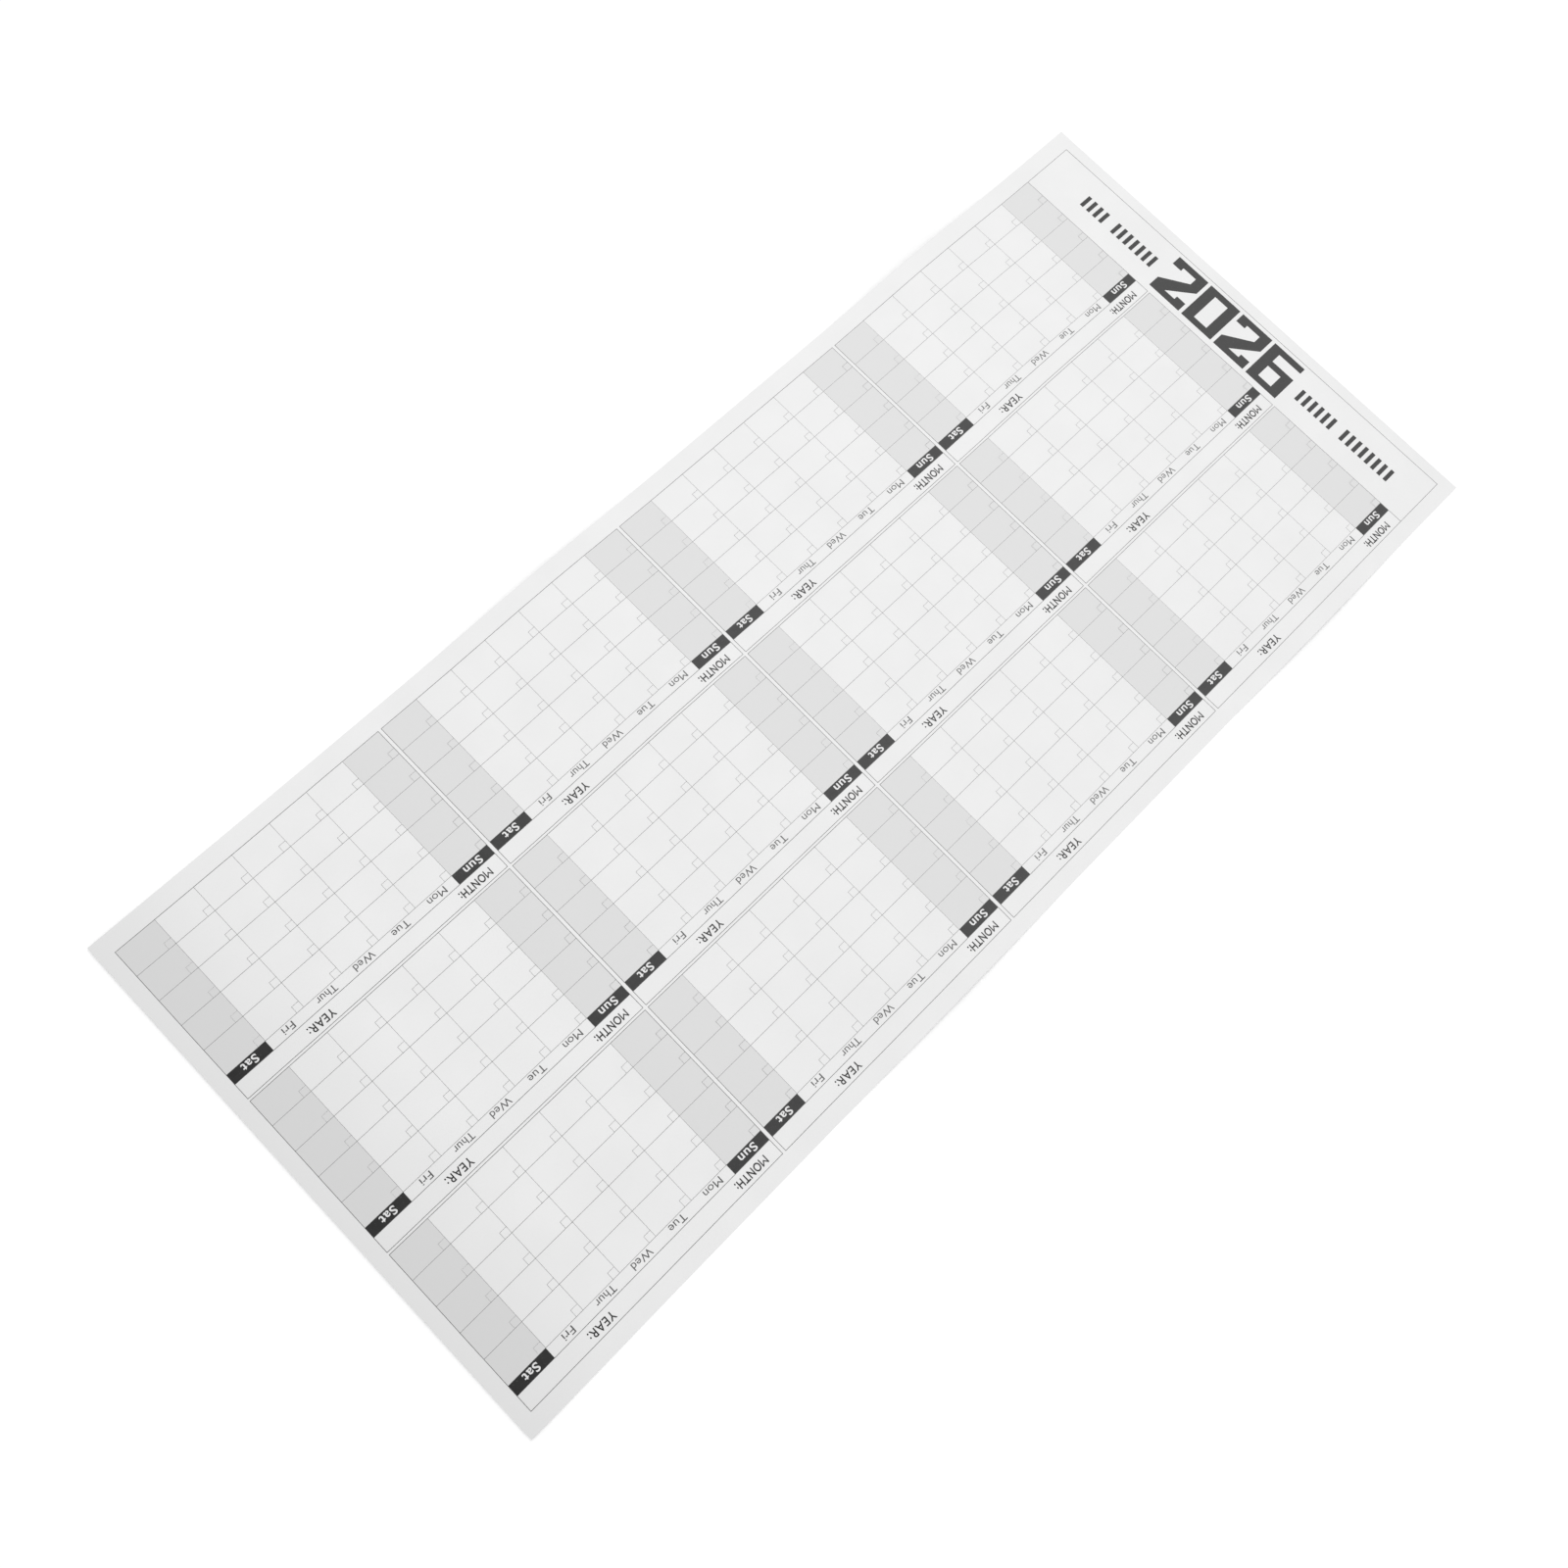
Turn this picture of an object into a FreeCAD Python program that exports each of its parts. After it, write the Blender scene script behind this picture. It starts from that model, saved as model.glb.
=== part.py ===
import FreeCAD, Part
import bisect
import math
import os

os.makedirs("parts", exist_ok=True)

# A printed year-planner sheet that lies face up. X runs along the long side in the reading direction,
# Y runs up the page, and Z is up. The origin is under the middle of the sheet, where it rests.

# Sheet
sheet_length = 860.0
sheet_width = 380.0
paper_thickness = 0.25

# Waves that the paper keeps from having been rolled. Each is a gentle arch across the whole width.
first_wave_from_left = 155.0
first_wave_half_length = 95.0
first_wave_height = 3.2
second_wave_from_left = 510.0
second_wave_half_length = 105.0
second_wave_height = 3.3
lifted_end_length = 130.0
lifted_end_height = 2.0

# Margins round the print
margin_left = 8.2
margin_right = 9.6
margin_top = 11.0
margin_bottom = 12.6

# Print
ink_thickness = 0.05
rule_width = 0.3
day_rule_width = 0.2
column_rule_width = 0.15
title_strip_width = 41.8
months_across = 4
months_down = 3
days_in_week = 7
weeks_shown = 5
month_gap_across = 2.2
month_gap_down = 1.5
heading_height = 11.3
weekday_height = 7.5
weekend_columns = (0, days_in_week - 1)

# Year numerals, which read up the page in the title strip
year_digits = "2026"
digit_height = 33.8
digit_width = 27.9
digit_gap = 2.8
digit_upright = 8.0
digit_bar = 5.0
digit_serif = 3.0
two_slope_low = 9.5
two_slope_high = 20.3
two_slope_foot = 10.4
six_loop_height = 21.0
digits_from_frame = 3.2
digits_off_centre = -2.6

# Plain bars in the title strip, grouped before and after the numerals
title_bar_height = 10.4
title_bar_width = 3.0
title_bar_pitch = 5.9
title_bars_from_frame = 16.2
title_bars_from_digits = 9.4
bars_before_digits = (4, 7)
bars_after_digits = (6, 8)

# Worked out from the sizes above
sheet_left = -sheet_length / 2
sheet_right = sheet_length / 2
sheet_bottom = -sheet_width / 2
sheet_top = sheet_width / 2
frame_left = sheet_left + margin_left
frame_right = sheet_right - margin_right
frame_bottom = sheet_bottom + margin_bottom
frame_top = sheet_top - margin_top
months_left = frame_left + title_strip_width
months_length = frame_right - months_left
month_width = (months_length - (months_across - 1) * month_gap_across) / months_across
month_height = (frame_top - frame_bottom - (months_down - 1) * month_gap_down) / months_down
day_width = month_width / days_in_week
day_height = (month_height - heading_height - weekday_height) / weeks_shown


def arch(x, centre, half_length, height):
    """Height at x of one wave, which rises and falls with level feet and a level crest."""
    away = abs(x - centre) / half_length
    if away >= 1:
        return 0.0
    return height * (1 + math.cos(math.pi * away)) / 2


def lifted_end(x):
    """Height at x of the end that has lifted off the surface."""
    beyond = x - (sheet_right - lifted_end_length)
    if beyond <= 0:
        return 0.0
    return lifted_end_height * (beyond / lifted_end_length) ** 2


def wave_height(x):
    """Height at x of the smooth wave that the paper lies in."""
    first = arch(x, sheet_left + first_wave_from_left, first_wave_half_length, first_wave_height)
    second = arch(x, sheet_left + second_wave_from_left, second_wave_half_length, second_wave_height)
    return first + second + lifted_end(x)


def month_left(across):
    return months_left + across * (month_width + month_gap_across)


def month_top(down):
    return frame_top - down * (month_height + month_gap_down)


def bend_lines():
    """Every x where the paper changes its slope: the waves' feet, and the day columns' edges on them."""
    first = sheet_left + first_wave_from_left
    second = sheet_left + second_wave_from_left
    feet = {
        first - first_wave_half_length, first + first_wave_half_length,
        second - second_wave_half_length, second + second_wave_half_length,
        sheet_right - lifted_end_length,
    }
    raised = set()
    for across in range(months_across):
        for column in range(days_in_week + 1):
            x = month_left(across) + column * day_width
            if wave_height(x) > 0:
                raised.add(x)
    return sorted({sheet_left, sheet_right} | feet | raised)


def paper_height(x):
    """Height of the paper's underside at x. Between two bend lines it is straight."""
    lines = bend_lines()
    place = min(max(bisect.bisect(lines, x), 1), len(lines) - 1)
    before, after = lines[place - 1:place + 1]
    share = (x - before) / (after - before)
    return (1 - share) * wave_height(before) + share * wave_height(after)


def layer(x0, x1, y0, y1, rise, thickness):
    """A rectangle of even thickness that follows the paper, raised above its underside."""
    stops = [x0] + [x for x in bend_lines() if x0 < x < x1] + [x1]
    lower = [FreeCAD.Vector(x, y0, paper_height(x) + rise) for x in stops]
    upper = [FreeCAD.Vector(x, y0, paper_height(x) + rise + thickness) for x in reversed(stops)]
    section = Part.Face(Part.makePolygon(lower + upper + lower[:1]))
    return section.extrude(FreeCAD.Vector(0, y1 - y0, 0))


def ink(x0, x1, y0, y1):
    """A printed rectangle on the face of the paper."""
    return layer(x0, x1, y0, y1, paper_thickness, ink_thickness)


def ink_shape(outline, hole=None):
    """A printed shape on the face of the paper, from the points of its outline and of its hole."""
    shape = Part.Face(Part.makePolygon(outline + outline[:1]))
    if hole:
        shape = shape.cut(Part.Face(Part.makePolygon(hole + hole[:1])))
    box = shape.BoundBox
    tallest = first_wave_height + second_wave_height + lifted_end_height
    column = shape.extrude(FreeCAD.Vector(0, 0, tallest + paper_thickness + 2 * ink_thickness))
    return ink(box.XMin, box.XMax, box.YMin, box.YMax).common(column).Solids[0]


def sheet():
    return layer(sheet_left, sheet_right, sheet_bottom, sheet_top, 0, paper_thickness)


def title_frame():
    """Hairlines round the title strip. Its fourth side is the left edge of the months."""
    return [
        ink(frame_left, months_left, frame_top - rule_width, frame_top),
        ink(frame_left, months_left, frame_bottom, frame_bottom + rule_width),
        ink(frame_left, frame_left + rule_width, frame_bottom + rule_width, frame_top - rule_width),
    ]


def month_frame(across, down):
    """Hairlines round one month and across it, above and below the names of the weekdays."""
    left = month_left(across)
    right = left + month_width
    top = month_top(down)
    bottom = top - month_height
    inner_left = left + rule_width
    inner_right = right - rule_width
    heading_foot = top - heading_height
    weekday_foot = heading_foot - weekday_height
    return [
        ink(left, right, top - rule_width, top),
        ink(left, right, bottom, bottom + rule_width),
        ink(left, inner_left, bottom + rule_width, top - rule_width),
        ink(inner_right, right, bottom + rule_width, top - rule_width),
        ink(inner_left, inner_right, heading_foot - rule_width, heading_foot),
        ink(inner_left, inner_right, weekday_foot - day_rule_width, weekday_foot),
    ]


def day_cell(across, down, column, week):
    """The clear space of one day: x from left to right, then y from bottom to top."""
    left = month_left(across) + column * day_width
    left += rule_width if column == 0 else column_rule_width
    right = month_left(across) + (column + 1) * day_width
    if column == days_in_week - 1:
        right -= rule_width
    days_top = month_top(down) - heading_height - weekday_height
    top = days_top - week * day_height - day_rule_width
    bottom = days_top - (week + 1) * day_height
    if week == weeks_shown - 1:
        bottom += rule_width
    return left, right, bottom, top


def day_rules(across, down):
    """Hairlines between the days of one month. The upright ones are finer and run through."""
    rules = []
    for column in range(1, days_in_week):
        left, right, bottom, top = day_cell(across, down, column, weeks_shown - 1)
        first_top = day_cell(across, down, column, 0)[3]
        rules.append(ink(left - column_rule_width, left, bottom, first_top))
    for column in range(days_in_week):
        for week in range(1, weeks_shown):
            left, right, bottom, top = day_cell(across, down, column, week)
            rules.append(ink(left, right, top, top + day_rule_width))
    return rules


def weekend_fields(across, down):
    fields = []
    for column in weekend_columns:
        for week in range(weeks_shown):
            fields.append(ink(*day_cell(across, down, column, week)))
    return fields


def weekend_headings(across, down):
    top = month_top(down) - heading_height - rule_width
    bottom = month_top(down) - heading_height - weekday_height
    headings = []
    for column in weekend_columns:
        left, right = day_cell(across, down, column, 0)[:2]
        headings.append(ink(left, right, bottom, top))
    return headings


def digit_points(start, corners):
    """Points of a numeral, from pairs along its line of writing and up its height.

    The numerals read up the page, so their line of writing is +Y and their tops point to -X.
    """
    foot = frame_left + digits_from_frame + digit_height
    return [FreeCAD.Vector(foot - up, start + along, 0) for along, up in corners]


def numeral_two(start):
    w = digit_width
    h = digit_height
    corners = [
        (0, 0), (w, 0), (w, digit_bar + digit_serif), (w - digit_upright, digit_bar + digit_serif),
        (w - digit_upright, digit_bar), (two_slope_foot, digit_bar), (w, two_slope_high), (w, h),
        (0, h), (0, h - digit_bar - digit_serif), (digit_upright, h - digit_bar - digit_serif),
        (digit_upright, h - digit_bar), (w - digit_upright, h - digit_bar),
        (w - digit_upright, two_slope_high + digit_bar / 2), (0, two_slope_low),
    ]
    return ink_shape(digit_points(start, corners))


def numeral_zero(start):
    w = digit_width
    h = digit_height
    outline = [(0, 0), (w, 0), (w, h), (0, h)]
    hole = [
        (digit_upright, digit_bar), (w - digit_upright, digit_bar),
        (w - digit_upright, h - digit_bar), (digit_upright, h - digit_bar),
    ]
    return ink_shape(digit_points(start, outline), digit_points(start, hole))


def numeral_six(start):
    w = digit_width
    h = digit_height
    outline = [
        (0, 0), (w, 0), (w, six_loop_height), (digit_upright, six_loop_height),
        (digit_upright, h - digit_bar), (w, h - digit_bar), (w, h), (0, h),
    ]
    hole = [
        (digit_upright, digit_bar), (w - digit_upright, digit_bar),
        (w - digit_upright, six_loop_height - digit_bar), (digit_upright, six_loop_height - digit_bar),
    ]
    return ink_shape(digit_points(start, outline), digit_points(start, hole))


def year_length():
    return len(year_digits) * digit_width + (len(year_digits) - 1) * digit_gap


def year_numerals():
    draw = {"2": numeral_two, "0": numeral_zero, "6": numeral_six}
    first = digits_off_centre - year_length() / 2
    numerals = []
    for place, digit in enumerate(year_digits):
        numerals.append(draw[digit](first + place * (digit_width + digit_gap)))
    return numerals


def bar_row(start, groups):
    """Upright bars in a row from start, with one pitch left free between two groups."""
    head = frame_left + title_bars_from_frame
    bars = []
    place = 0
    for count in groups:
        for _ in range(count):
            y = start + place * title_bar_pitch
            bars.append(ink(head, head + title_bar_height, y, y + title_bar_width))
            place += 1
        place += 1
    return bars


def bar_row_length(groups):
    return (sum(groups) + len(groups) - 2) * title_bar_pitch + title_bar_width


def title_bars():
    before = digits_off_centre - year_length() / 2 - title_bars_from_digits
    after = digits_off_centre + year_length() / 2 + title_bars_from_digits
    return (bar_row(before - bar_row_length(bars_before_digits), bars_before_digits)
            + bar_row(after, bars_after_digits))


def each_month(draw):
    """What one function prints in a month, for every month."""
    printed = []
    for down in range(months_down):
        for across in range(months_across):
            printed += draw(across, down)
    return printed


def save(name, solids):
    Part.makeCompound(solids).exportStep(f"parts/{name}.step")


sheet().exportStep("parts/sheet.step")
save("title_frame", title_frame())
save("month_frames", each_month(month_frame))
save("day_rules", each_month(day_rules))
save("weekend_fields", each_month(weekend_fields))
save("weekend_headings", each_month(weekend_headings))
save("year_numerals", year_numerals())
save("title_bars", title_bars())
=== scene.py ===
import math

import bmesh
import bpy
from mathutils import Matrix, Vector


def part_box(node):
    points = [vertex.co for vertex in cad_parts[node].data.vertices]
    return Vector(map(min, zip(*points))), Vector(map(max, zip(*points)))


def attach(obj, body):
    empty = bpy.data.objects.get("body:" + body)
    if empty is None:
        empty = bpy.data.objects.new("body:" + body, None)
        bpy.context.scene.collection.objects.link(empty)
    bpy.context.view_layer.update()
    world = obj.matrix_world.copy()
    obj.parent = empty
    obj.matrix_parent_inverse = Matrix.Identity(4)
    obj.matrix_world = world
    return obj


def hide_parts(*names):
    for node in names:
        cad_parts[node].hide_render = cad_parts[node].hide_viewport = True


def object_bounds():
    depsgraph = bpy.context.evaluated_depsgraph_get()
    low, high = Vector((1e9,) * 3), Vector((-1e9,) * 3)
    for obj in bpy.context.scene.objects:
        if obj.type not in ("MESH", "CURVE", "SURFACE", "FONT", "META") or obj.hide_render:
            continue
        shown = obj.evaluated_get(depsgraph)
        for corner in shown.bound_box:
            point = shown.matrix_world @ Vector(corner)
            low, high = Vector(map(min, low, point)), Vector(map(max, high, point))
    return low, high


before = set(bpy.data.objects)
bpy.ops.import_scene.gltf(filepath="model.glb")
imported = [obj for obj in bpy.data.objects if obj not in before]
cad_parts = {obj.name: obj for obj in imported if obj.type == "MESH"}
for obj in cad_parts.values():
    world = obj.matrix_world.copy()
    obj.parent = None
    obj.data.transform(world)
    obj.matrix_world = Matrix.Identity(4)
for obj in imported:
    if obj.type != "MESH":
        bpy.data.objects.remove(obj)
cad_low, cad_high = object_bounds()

# Lengths are in metres. X runs along the sheet in the reading direction, and Y runs up the page.
MM = 0.001

# Places that agree to this many decimals of a metre are one place
PLACE_DECIMALS = 6

# How the print is laid out inside the frames of the months
MONTHS_ACROSS = 4
MONTHS_DOWN = 3
DAYS_IN_WEEK = 7
WEEKS_SHOWN = 5
MONTH_GAP_ACROSS = 2.2 * MM
MONTH_GAP_DOWN = 1.5 * MM
HEADING_HEIGHT = 11.3 * MM
WEEKDAY_HEIGHT = 7.5 * MM
RULE_WIDTH = 0.3 * MM
DAY_RULE_WIDTH = 0.2 * MM
COLUMN_RULE_WIDTH = 0.15 * MM
INK_THICKNESS = 0.05 * MM
WEEKEND_COLUMNS = (0, DAYS_IN_WEEK - 1)
WEEKDAY_COLUMNS = range(1, DAYS_IN_WEEK - 1)

# Small print that only this script adds
DATE_BOX_WIDTH = 5.1 * MM
DATE_BOX_HEIGHT = 4.8 * MM
DATE_BOX_RULE = 0.14 * MM
DAY_NAMES = ("Sun", "Mon", "Tue", "Wed", "Thur", "Fri", "Sat")
DAY_NAME_WIDTHS = (12.7 * MM, 13.1 * MM, 12.0 * MM, 14.4 * MM, 14.1 * MM, 7.8 * MM, 10.6 * MM)
WEEKDAY_CAPITALS = 4.7 * MM
WEEKDAY_DROP = 0.3 * MM
WEEKEND_CAPITALS = 5.2 * MM
LABEL_CAPITALS = 5.4 * MM
LABEL_MIDDLE_FROM_TOP = 5.3 * MM
# Each part of a label: its letters, how far it starts from the month's left side, its width, its weight.
# The M is a part of its own, because its sharp corners take no weight.
LABEL_PARTS = (
    ("M", 8.8 * MM, 4.7 * MM, 0),
    ("ONTH:", 14.0 * MM, 19.0 * MM, 0.02),
    ("YEAR:", 130.4 * MM, 19.0 * MM, 0.01),
)

# The built-in typeface. A capital's height and a weight are shares of the size of the letters.
CAPITAL_SHARE = 0.682
BOLD_WEIGHT = 0.018
BOLD_SPACING = 1.1
LETTER_CURVE_STEPS = 4

# Tones run from 0 for black to 1 for white. An ink's tones are pairs of a place along the sheet,
# with 0 at the title end and 1 at the other, and the tone there.
PAPER_WHITE = 0.865
PAPER_SHADE = 0.845
# Painted shade: over the last stretch of the sheet the paper greys to the first of these tones, from the
# place along it given second
PAPER_PAINTED_SHADE_END = 0.775
PAINTED_SHADE_START = 0.9
# How each ink's tone changes along the sheet is painted light and shade: lighter towards the title end,
# darker towards the other
HAIRLINE_TONES_AND_SHADING = ((0, 0.24), (0.5, 0.18), (1, 0.06))
PALE_TONES_AND_SHADING = ((0, 0.755), (0.75, 0.745), (1, 0.68))
DARK_TONES_AND_SHADING = ((0, 0.066), (0.5, 0.064), (0.75, 0.043), (1, 0.012))
NAMES_TONES_AND_SHADING = ((0, 0.2), (0.5, 0.17), (1, 0.08))
SPECKLE_TONE = 0.6

# Gloss of the paper and the inks. A roughness varies over its span.
PAPER_ROUGHNESS = (0.62, 0.8)
PAPER_SPECULAR = 0.4
INK_ROUGHNESS = (0.5, 0.65)
PALE_ROUGHNESS = (0.6, 0.75)
INK_SPECULAR = 0.25

# Grain of the paper and the inks, with each scale in waves to a metre
FIBRE_SCALE = 900
INK_BLOTCH_SCALE = 300
MOTTLE_SCALE = 28
COCKLE_SCALE = 9
COCKLE_DEPTH = 0.4 * MM
PAPER_FIBRE_DEPTH = 0.03 * MM
INK_FIBRE_DEPTH = 0.02 * MM
BUMP_STRENGTH = 0.5

# The paper's shading rounds off a bend that is smaller than this
SHARP_ANGLE = math.radians(30)

# Light and floor
DOME_STRENGTH = 0.75
KEY_PLACE = Vector((-0.30, -0.25, 1.6))
KEY_SIDE = 1.0
KEY_POWER = 7.8
FLOOR_SIDE = 14.0
FLOOR_DROP = 0.02 * MM
FLOOR_COLOUR = 0.9
FLOOR_FILL_REACH = 1.6

# Camera
CAMERA_PLACE = Vector((0.3035, 0.1345, 0.9213))
CAMERA_AIM = Vector((0.0625, 0.0192, 0.0))
CAMERA_UP = Vector((-0.6619, -0.7026, 0.2612))
CAMERA_LENS_MM = 35.07

months_low, months_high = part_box("month_frames")
month_width = (months_high.x - months_low.x - (MONTHS_ACROSS - 1) * MONTH_GAP_ACROSS) / MONTHS_ACROSS
month_height = (months_high.y - months_low.y - (MONTHS_DOWN - 1) * MONTH_GAP_DOWN) / MONTHS_DOWN
day_width = month_width / DAYS_IN_WEEK
day_height = (month_height - HEADING_HEIGHT - WEEKDAY_HEIGHT) / WEEKS_SHOWN


def paper_profile():
    """The paper's face as points of x and height, one at each line where it bends."""
    highest = {}
    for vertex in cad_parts["sheet"].data.vertices:
        x = round(vertex.co.x, PLACE_DECIMALS)
        highest[x] = max(highest.get(x, 0), vertex.co.z)
    return sorted(highest.items())


face_profile = paper_profile()


def face_height(x):
    """Height of the paper's face at x, straight between the lines where it bends."""
    for (x0, z0), (x1, z1) in zip(face_profile, face_profile[1:]):
        if x <= x1:
            return z0 + (z1 - z0) * (x - x0) / (x1 - x0)
    return face_profile[-1][1]


def add_piece(name, mesh, material):
    piece = bpy.data.objects.new(name, mesh)
    mesh.materials.append(material)
    bpy.context.scene.collection.objects.link(piece)
    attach(piece, "root")
    return piece


# Camera

def make_camera():
    data = bpy.data.cameras.new("camera")
    data.lens = CAMERA_LENS_MM
    camera = bpy.data.objects.new("camera", data)
    bpy.context.scene.collection.objects.link(camera)
    forward = (CAMERA_AIM - CAMERA_PLACE).normalized()
    right = forward.cross(CAMERA_UP).normalized()
    up = right.cross(forward)
    turn = Matrix((right, up, -forward)).transposed()
    camera.matrix_world = Matrix.Translation(CAMERA_PLACE) @ turn.to_4x4()
    bpy.context.scene.camera = camera


# Materials

def grey(tone):
    return (tone, tone, tone)


class Nodes:
    """Short names for the nodes of one material."""

    def __init__(self, name):
        self.material = bpy.data.materials.new(name)
        self.material.use_nodes = True
        self.tree = self.material.node_tree
        self.shader = self.tree.nodes["Principled BSDF"]
        self.place = self.tree.nodes.new("ShaderNodeTexCoord").outputs["Object"]

    def link(self, source, target):
        self.tree.links.new(source, target)

    def noise(self, scale, detail, roughness=0.5):
        node = self.tree.nodes.new("ShaderNodeTexNoise")
        node.inputs["Scale"].default_value = scale
        node.inputs["Detail"].default_value = detail
        node.inputs["Roughness"].default_value = roughness
        self.link(self.place, node.inputs["Vector"])
        return node.outputs["Fac"]

    def map_range(self, value, source, target):
        """Maps the source span of a value to the target span, and holds it inside that."""
        node = self.tree.nodes.new("ShaderNodeMapRange")
        for socket, limit in zip(("From Min", "From Max", "To Min", "To Max"), (*source, *target)):
            node.inputs[socket].default_value = limit
        self.link(value, node.inputs["Value"])
        return node.outputs["Result"]

    def mix(self, factor, colour_a, colour_b):
        node = self.tree.nodes.new("ShaderNodeMix")
        node.data_type = "RGBA"
        self.link(factor, node.inputs["Factor"])
        for socket, colour in ((node.inputs["A"], colour_a), (node.inputs["B"], colour_b)):
            if isinstance(colour, tuple):
                socket.default_value = (*colour, 1)
            else:
                self.link(colour, socket)
        return node.outputs["Result"]

    def ramp(self, value, stops):
        """Tones between stops, of which the first lies at 0 and the last at 1."""
        node = self.tree.nodes.new("ShaderNodeValToRGB")
        elements = node.color_ramp.elements
        for place, _ in stops[1:-1]:
            elements.new(place)
        for element, (_, tone) in zip(elements, stops):
            element.color = (*grey(tone), 1)
        self.link(value, node.inputs["Fac"])
        return node.outputs["Color"]

    def along_sheet(self):
        """0 at the title end of the sheet and 1 at its other end."""
        split = self.tree.nodes.new("ShaderNodeSeparateXYZ")
        self.link(self.place, split.inputs["Vector"])
        return self.map_range(split.outputs["X"], source=(cad_low.x, cad_high.x), target=(0, 1))

    def bump(self, height, distance, normal=None):
        node = self.tree.nodes.new("ShaderNodeBump")
        node.inputs["Strength"].default_value = BUMP_STRENGTH
        node.inputs["Distance"].default_value = distance
        self.link(height, node.inputs["Height"])
        if normal:
            self.link(normal, node.inputs["Normal"])
        return node.outputs["Normal"]


def paper_grain(nodes, fibre_depth):
    """The tooth of uncoated paper, over the slow cockle that a rolled sheet keeps."""
    cockle = nodes.bump(nodes.noise(COCKLE_SCALE, detail=2), COCKLE_DEPTH)
    tooth = nodes.bump(nodes.noise(FIBRE_SCALE, detail=6, roughness=0.65), fibre_depth, cockle)
    nodes.link(tooth, nodes.shader.inputs["Normal"])


def paper_material():
    """White paper, a little greyer over its last stretch by painted shade."""
    nodes = Nodes("planner_paper")
    mottle = nodes.map_range(nodes.noise(MOTTLE_SCALE, detail=4), source=(0.35, 0.65), target=(0, 1))
    mottled = nodes.mix(mottle, grey(PAPER_WHITE), grey(PAPER_SHADE))
    # Painted shade, greying the paper over the last stretch of the sheet
    painted_shade = nodes.map_range(nodes.along_sheet(), source=(PAINTED_SHADE_START, 1), target=(0, 1))
    colour = nodes.mix(painted_shade, mottled, grey(PAPER_PAINTED_SHADE_END))
    nodes.link(colour, nodes.shader.inputs["Base Color"])
    rough = nodes.map_range(nodes.noise(FIBRE_SCALE, detail=4), source=(0.3, 0.7), target=PAPER_ROUGHNESS)
    nodes.link(rough, nodes.shader.inputs["Roughness"])
    nodes.shader.inputs["Specular IOR Level"].default_value = PAPER_SPECULAR
    paper_grain(nodes, PAPER_FIBRE_DEPTH)
    return nodes.material


def ink_material(name, stops, speckle, roughness=INK_ROUGHNESS):
    """Ink on paper. Its tone runs along the sheet as stops say, which is painted light and shade, and the
    tooth shows through it faintly.
    """
    nodes = Nodes(name)
    # Painted light and shade: the tone runs lighter towards the title end and darker towards the other
    tone = nodes.ramp(nodes.along_sheet(), stops)
    tooth = nodes.noise(FIBRE_SCALE, detail=5, roughness=0.6)
    worn = nodes.map_range(tooth, source=(0.62, 0.8), target=(0, speckle))
    nodes.link(nodes.mix(worn, tone, grey(SPECKLE_TONE)), nodes.shader.inputs["Base Color"])
    rough = nodes.map_range(nodes.noise(INK_BLOTCH_SCALE, detail=3), source=(0.3, 0.7), target=roughness)
    nodes.link(rough, nodes.shader.inputs["Roughness"])
    nodes.shader.inputs["Specular IOR Level"].default_value = INK_SPECULAR
    paper_grain(nodes, INK_FIBRE_DEPTH)
    return nodes.material


def dress_node(node, material):
    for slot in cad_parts[node].material_slots:
        slot.material = material


# The sheet

def make_paper(material):
    """The sheet with its bends rounded off by its shading. It has the same form as the solid."""
    thickness = face_profile[0][1] - cad_low.z
    bm = bmesh.new()
    rows = []
    for y in (cad_low.y, cad_high.y):
        face = [bm.verts.new((x, y, z)) for x, z in face_profile]
        back = [bm.verts.new((x, y, z - thickness)) for x, z in face_profile]
        rows.append((face, back))
    (near_face, near_back), (far_face, far_back) = rows
    last = len(face_profile) - 1
    for i in range(last):
        bm.faces.new((near_face[i], near_face[i + 1], far_face[i + 1], far_face[i]))
        bm.faces.new((near_back[i], far_back[i], far_back[i + 1], near_back[i + 1]))
        bm.faces.new((near_back[i], near_back[i + 1], near_face[i + 1], near_face[i]))
        bm.faces.new((far_back[i + 1], far_back[i], far_face[i], far_face[i + 1]))
    bm.faces.new((near_face[0], far_face[0], far_back[0], near_back[0]))
    bm.faces.new((near_face[last], near_back[last], far_back[last], far_face[last]))
    bmesh.ops.recalc_face_normals(bm, faces=bm.faces)
    mesh = bpy.data.meshes.new("paper_sheet")
    bm.to_mesh(mesh)
    bm.free()
    mesh.shade_smooth()
    mesh.set_sharp_from_angle(angle=SHARP_ANGLE)
    paper = add_piece("paper_sheet", mesh, material)
    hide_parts("sheet")


# Small print

def month_corner(across, down):
    """The top left corner of a month's frame."""
    x = months_low.x + across * (month_width + MONTH_GAP_ACROSS)
    y = months_high.y - down * (month_height + MONTH_GAP_DOWN)
    return x, y


def each_month():
    for down in range(MONTHS_DOWN):
        for across in range(MONTHS_ACROSS):
            yield month_corner(across, down)


def drape(bm):
    """Cuts flat print at the lines where the paper bends, and raises it on to the paper's face."""
    for x, _ in face_profile[1:-1]:
        parts = bm.verts[:] + bm.edges[:] + bm.faces[:]
        bmesh.ops.bisect_plane(bm, geom=parts, plane_co=(x, 0, 0), plane_no=(1, 0, 0))
    for vertex in bm.verts:
        vertex.co.z += face_height(vertex.co.x)


def add_print(name, bm, material):
    drape(bm)
    mesh = bpy.data.meshes.new(name)
    bm.to_mesh(mesh)
    bm.free()
    add_piece(name, mesh, material)


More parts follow.
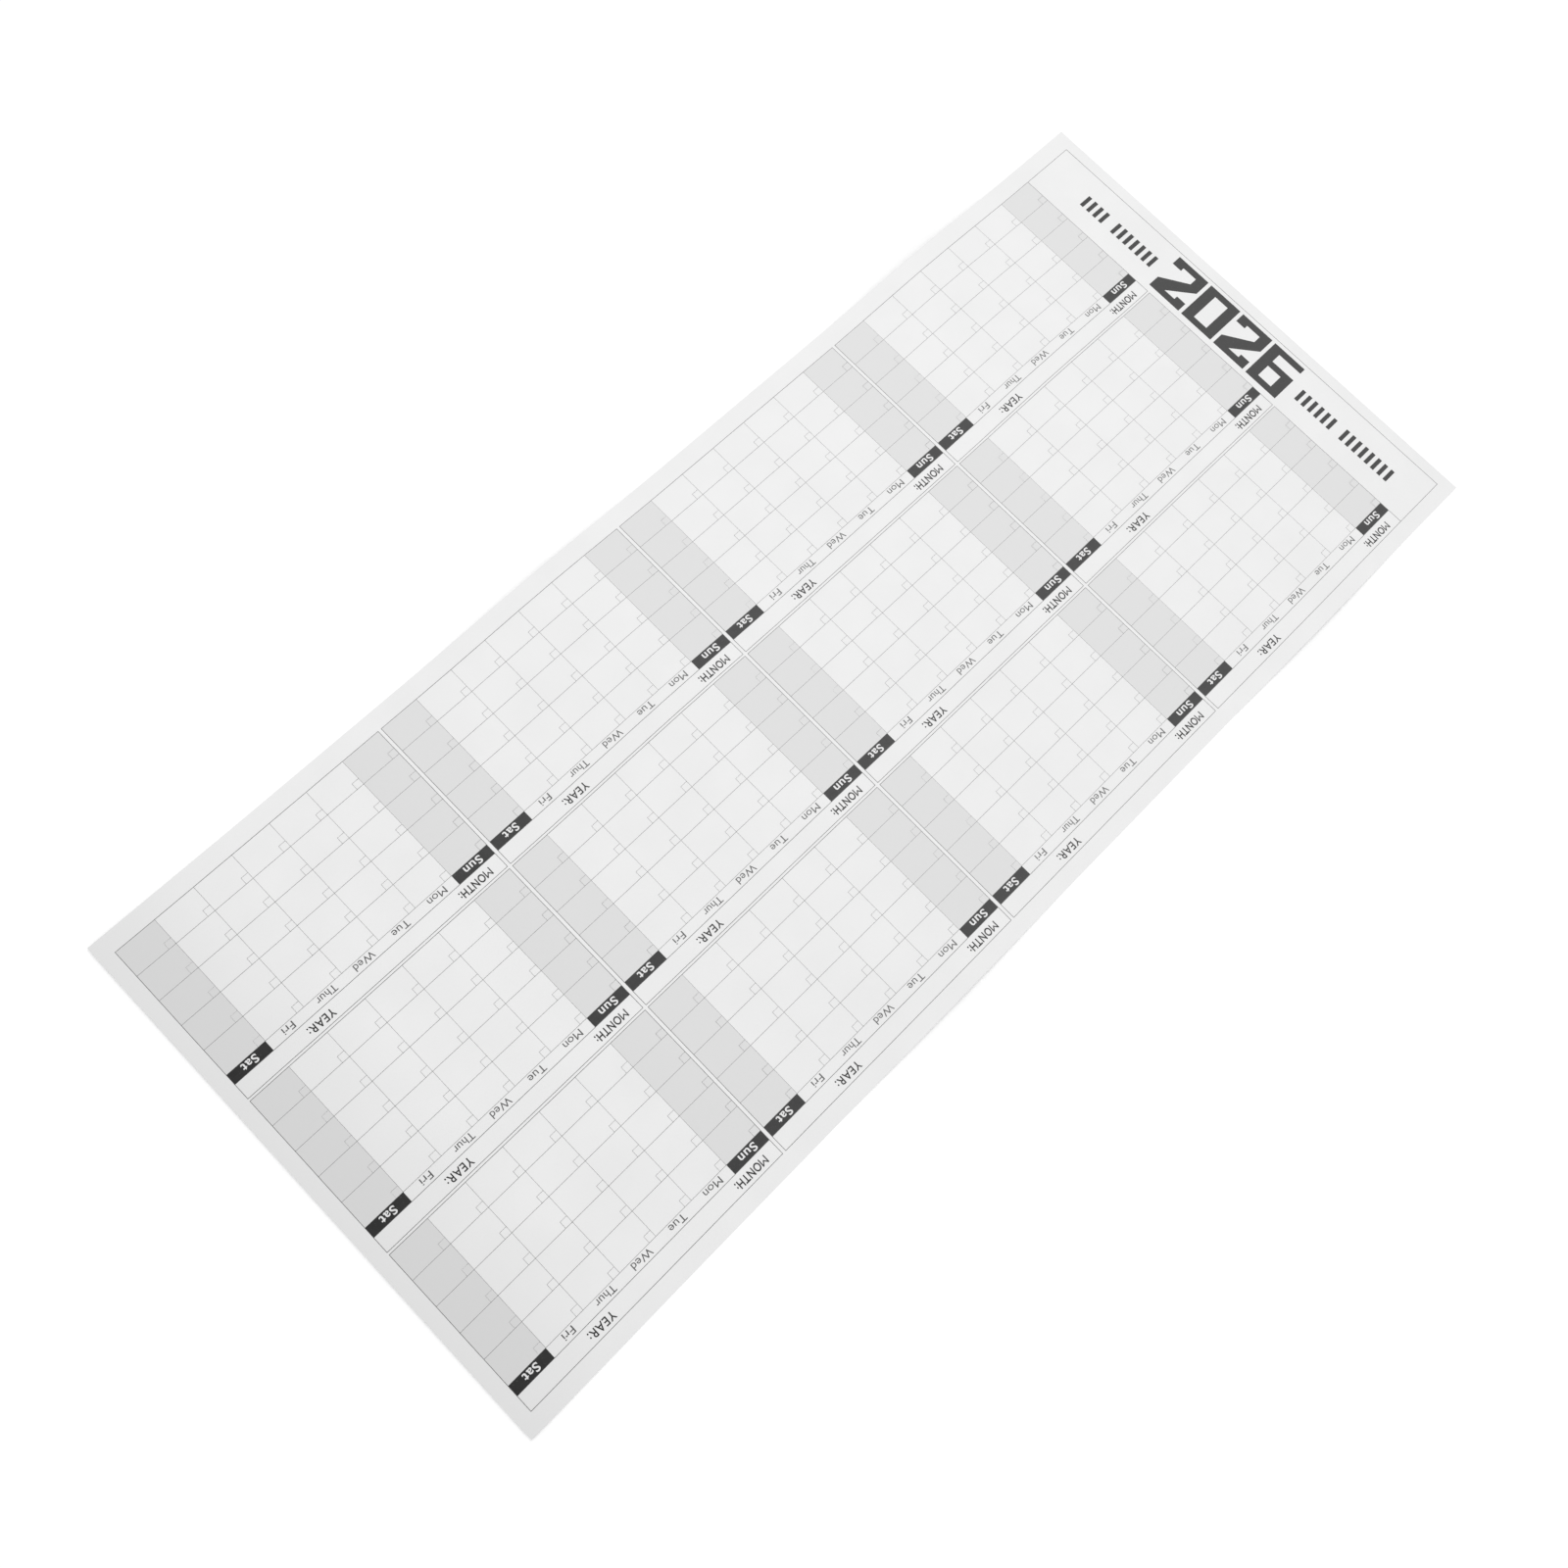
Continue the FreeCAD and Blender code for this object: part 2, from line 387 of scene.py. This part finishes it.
def add_date_box(bm, left, right, foot, top):
    """A line along the right side and the foot of a box."""
    inner_x = right - DATE_BOX_RULE
    inner_y = foot + DATE_BOX_RULE
    outline = (
        (left, foot), (right, foot), (right, top),
        (inner_x, top), (inner_x, inner_y), (left, inner_y),
    )
    low = [bm.verts.new((x, y, 0)) for x, y in outline]
    high = [bm.verts.new((x, y, INK_THICKNESS)) for x, y in outline]
    bm.faces.new(low[::-1])
    bm.faces.new(high)
    for i, j in zip(range(-1, len(outline) - 1), range(len(outline))):
        bm.faces.new((low[i], low[j], high[j], high[i]))


def make_date_boxes(material):
    """The small box in the top left corner of each day. The day's own lines are its other two sides."""
    bm = bmesh.new()
    for month_x, month_y in each_month():
        for column in range(DAYS_IN_WEEK):
            left = month_x + column * day_width + (COLUMN_RULE_WIDTH if column else RULE_WIDTH)
            for week in range(WEEKS_SHOWN):
                top = month_y - HEADING_HEIGHT - WEEKDAY_HEIGHT - week * day_height - DAY_RULE_WIDTH
                add_date_box(bm, left, left + DATE_BOX_WIDTH, top - DATE_BOX_HEIGHT, top)
    add_print("date_boxes", bm, material)


def letters(text, capitals, width, weight):
    """A mesh of plain letters that starts at x = 0 and stands on y = 0, with this height and width."""
    data = bpy.data.curves.new("letters", "FONT")
    data.body = text
    data.offset = weight
    data.space_character = BOLD_SPACING if weight else 1
    data.resolution_u = LETTER_CURVE_STEPS
    # The letters are one unit thick until they get the ink's thickness
    half_thick = 0.5
    data.extrude = half_thick
    maker = bpy.data.objects.new("letters", data)
    bpy.context.scene.collection.objects.link(maker)
    bpy.context.view_layer.update()
    mesh = bpy.data.meshes.new_from_object(maker)
    bpy.data.objects.remove(maker)
    bpy.data.curves.remove(data)
    start = min(vertex.co.x for vertex in mesh.vertices)
    end = max(vertex.co.x for vertex in mesh.vertices)
    mesh.transform(Matrix.Translation((-start, weight, half_thick)))
    x_scale = width / (end - start)
    y_scale = capitals / (CAPITAL_SHARE + 2 * weight)
    mesh.transform(Matrix.Diagonal((x_scale, y_scale, INK_THICKNESS, 1)))
    return mesh


def add_letters(bm, mesh, x, y, lift=0):
    """Adds a copy of the letters that starts at x and stands on y."""
    before = len(bm.verts)
    bm.from_mesh(mesh)
    bm.verts.ensure_lookup_table()
    for vertex in bm.verts[before:]:
        vertex.co += Vector((x, y, lift))


def day_names(columns, capitals, weight=0, drop=0, lift=0):
    """The names above these columns in every month, drop lower than the middle of their strip."""
    bm = bmesh.new()
    for column in columns:
        width = DAY_NAME_WIDTHS[column]
        mesh = letters(DAY_NAMES[column], capitals, width, weight)
        for month_x, month_y in each_month():
            x = month_x + (column + 0.5) * day_width - width / 2
            y = month_y - HEADING_HEIGHT - (WEEKDAY_HEIGHT + RULE_WIDTH + capitals) / 2 - drop
            add_letters(bm, mesh, x, y, lift)
    return bm


def make_day_names(ink, white):
    """Grey names on the paper, and white names on the dark blocks of the weekend."""
    weekdays = day_names(WEEKDAY_COLUMNS, WEEKDAY_CAPITALS, drop=WEEKDAY_DROP)
    weekend = day_names(WEEKEND_COLUMNS, WEEKEND_CAPITALS, BOLD_WEIGHT, lift=INK_THICKNESS)
    add_print("weekday_names", weekdays, ink)
    add_print("weekend_names", weekend, white)


def make_labels(material):
    """The two field names in the heading of each month."""
    bm = bmesh.new()
    for text, from_left, width, weight in LABEL_PARTS:
        mesh = letters(text, LABEL_CAPITALS, width, weight)
        for month_x, month_y in each_month():
            y = month_y - LABEL_MIDDLE_FROM_TOP - LABEL_CAPITALS / 2
            add_letters(bm, mesh, month_x + from_left, y)
    add_print("heading_labels", bm, material)


# Light and floor

def stage_nodes(tree):
    """1 where a camera, mirror or glass sees the stage, and 0 where it lights the sheet."""
    path = tree.nodes.new("ShaderNodeLightPath")
    seen = path.outputs["Is Camera Ray"]
    for ray in ("Is Glossy Ray", "Is Transmission Ray"):
        add = tree.nodes.new("ShaderNodeMath")
        add.operation = "MAXIMUM"
        tree.links.new(seen, add.inputs[0])
        tree.links.new(path.outputs[ray], add.inputs[1])
        seen = add.outputs[0]
    return seen


def make_dome():
    """Even light from all round, which a camera sees as plain white."""
    world = bpy.data.worlds.new("dome")
    world.use_nodes = True
    bpy.context.scene.world = world
    tree = world.node_tree
    background = tree.nodes["Background"]
    background.inputs["Color"].default_value = (1, 1, 1, 1)
    strength = tree.nodes.new("ShaderNodeMapRange")
    strength.inputs["To Min"].default_value = DOME_STRENGTH
    tree.links.new(stage_nodes(tree), strength.inputs["Value"])
    tree.links.new(strength.outputs["Result"], background.inputs["Strength"])


def make_key():
    """One soft lamp, high over the title end, that shines straight down."""
    data = bpy.data.lights.new("key", "AREA")
    data.size = KEY_SIDE
    data.energy = KEY_POWER
    key = bpy.data.objects.new("key", data)
    key.location = KEY_PLACE
    bpy.context.scene.collection.objects.link(key)


def make_floor():
    """A white floor that keeps the sheet's shadow. What the key leaves darker far off is made up there.

    It lies a hair below the sheet, so that their two faces are nowhere in one plane.
    """
    half = FLOOR_SIDE / 2
    mesh = bpy.data.meshes.new("floor")
    corners = [(-half, -half, 0), (half, -half, 0), (half, half, 0), (-half, half, 0)]
    mesh.from_pydata(corners, [], [(0, 1, 2, 3)])
    floor = bpy.data.objects.new("floor", mesh)
    floor.location.z = cad_low.z - FLOOR_DROP
    bpy.context.scene.collection.objects.link(floor)
    nodes = Nodes("floor_white")
    nodes.shader.inputs["Base Color"].default_value = (*grey(FLOOR_COLOUR), 1)
    nodes.shader.inputs["Roughness"].default_value = 1
    nodes.shader.inputs["Specular IOR Level"].default_value = 0
    away = nodes.tree.nodes.new("ShaderNodeVectorMath")
    away.operation = "DISTANCE"
    nodes.link(nodes.place, away.inputs[0])
    away.inputs[1].default_value = (KEY_PLACE.x, KEY_PLACE.y, 0)
    near_fill = 1 - FLOOR_COLOUR
    far_fill = 1 - FLOOR_COLOUR * DOME_STRENGTH
    fill = nodes.map_range(away.outputs["Value"], (0, FLOOR_FILL_REACH), (near_fill, far_fill))
    glow = nodes.tree.nodes.new("ShaderNodeMath")
    glow.operation = "MULTIPLY"
    nodes.link(fill, glow.inputs[0])
    nodes.link(stage_nodes(nodes.tree), glow.inputs[1])
    nodes.shader.inputs["Emission Color"].default_value = (1, 1, 1, 1)
    nodes.link(glow.outputs[0], nodes.shader.inputs["Emission Strength"])
    mesh.materials.append(nodes.material)


bpy.context.scene.view_settings.view_transform = "Standard"

make_camera()
make_dome()
make_key()
make_floor()

hairline = ink_material("hairline_ink_fine", HAIRLINE_TONES_AND_SHADING, speckle=0.3)
pale = ink_material("pale_ink_tint", PALE_TONES_AND_SHADING, speckle=0.1, roughness=PALE_ROUGHNESS)
dark = ink_material("dark_ink_solid", DARK_TONES_AND_SHADING, speckle=0.12)
names_ink = ink_material("names_ink", NAMES_TONES_AND_SHADING, speckle=0.2)
white_paper = paper_material()

make_paper(white_paper)
for node in ("title_frame", "month_frames", "day_rules"):
    dress_node(node, hairline)
for node in ("weekend_headings", "year_numerals", "title_bars"):
    dress_node(node, dark)
dress_node("weekend_fields", pale)
make_date_boxes(hairline)
make_day_names(names_ink, white_paper)
make_labels(dark)
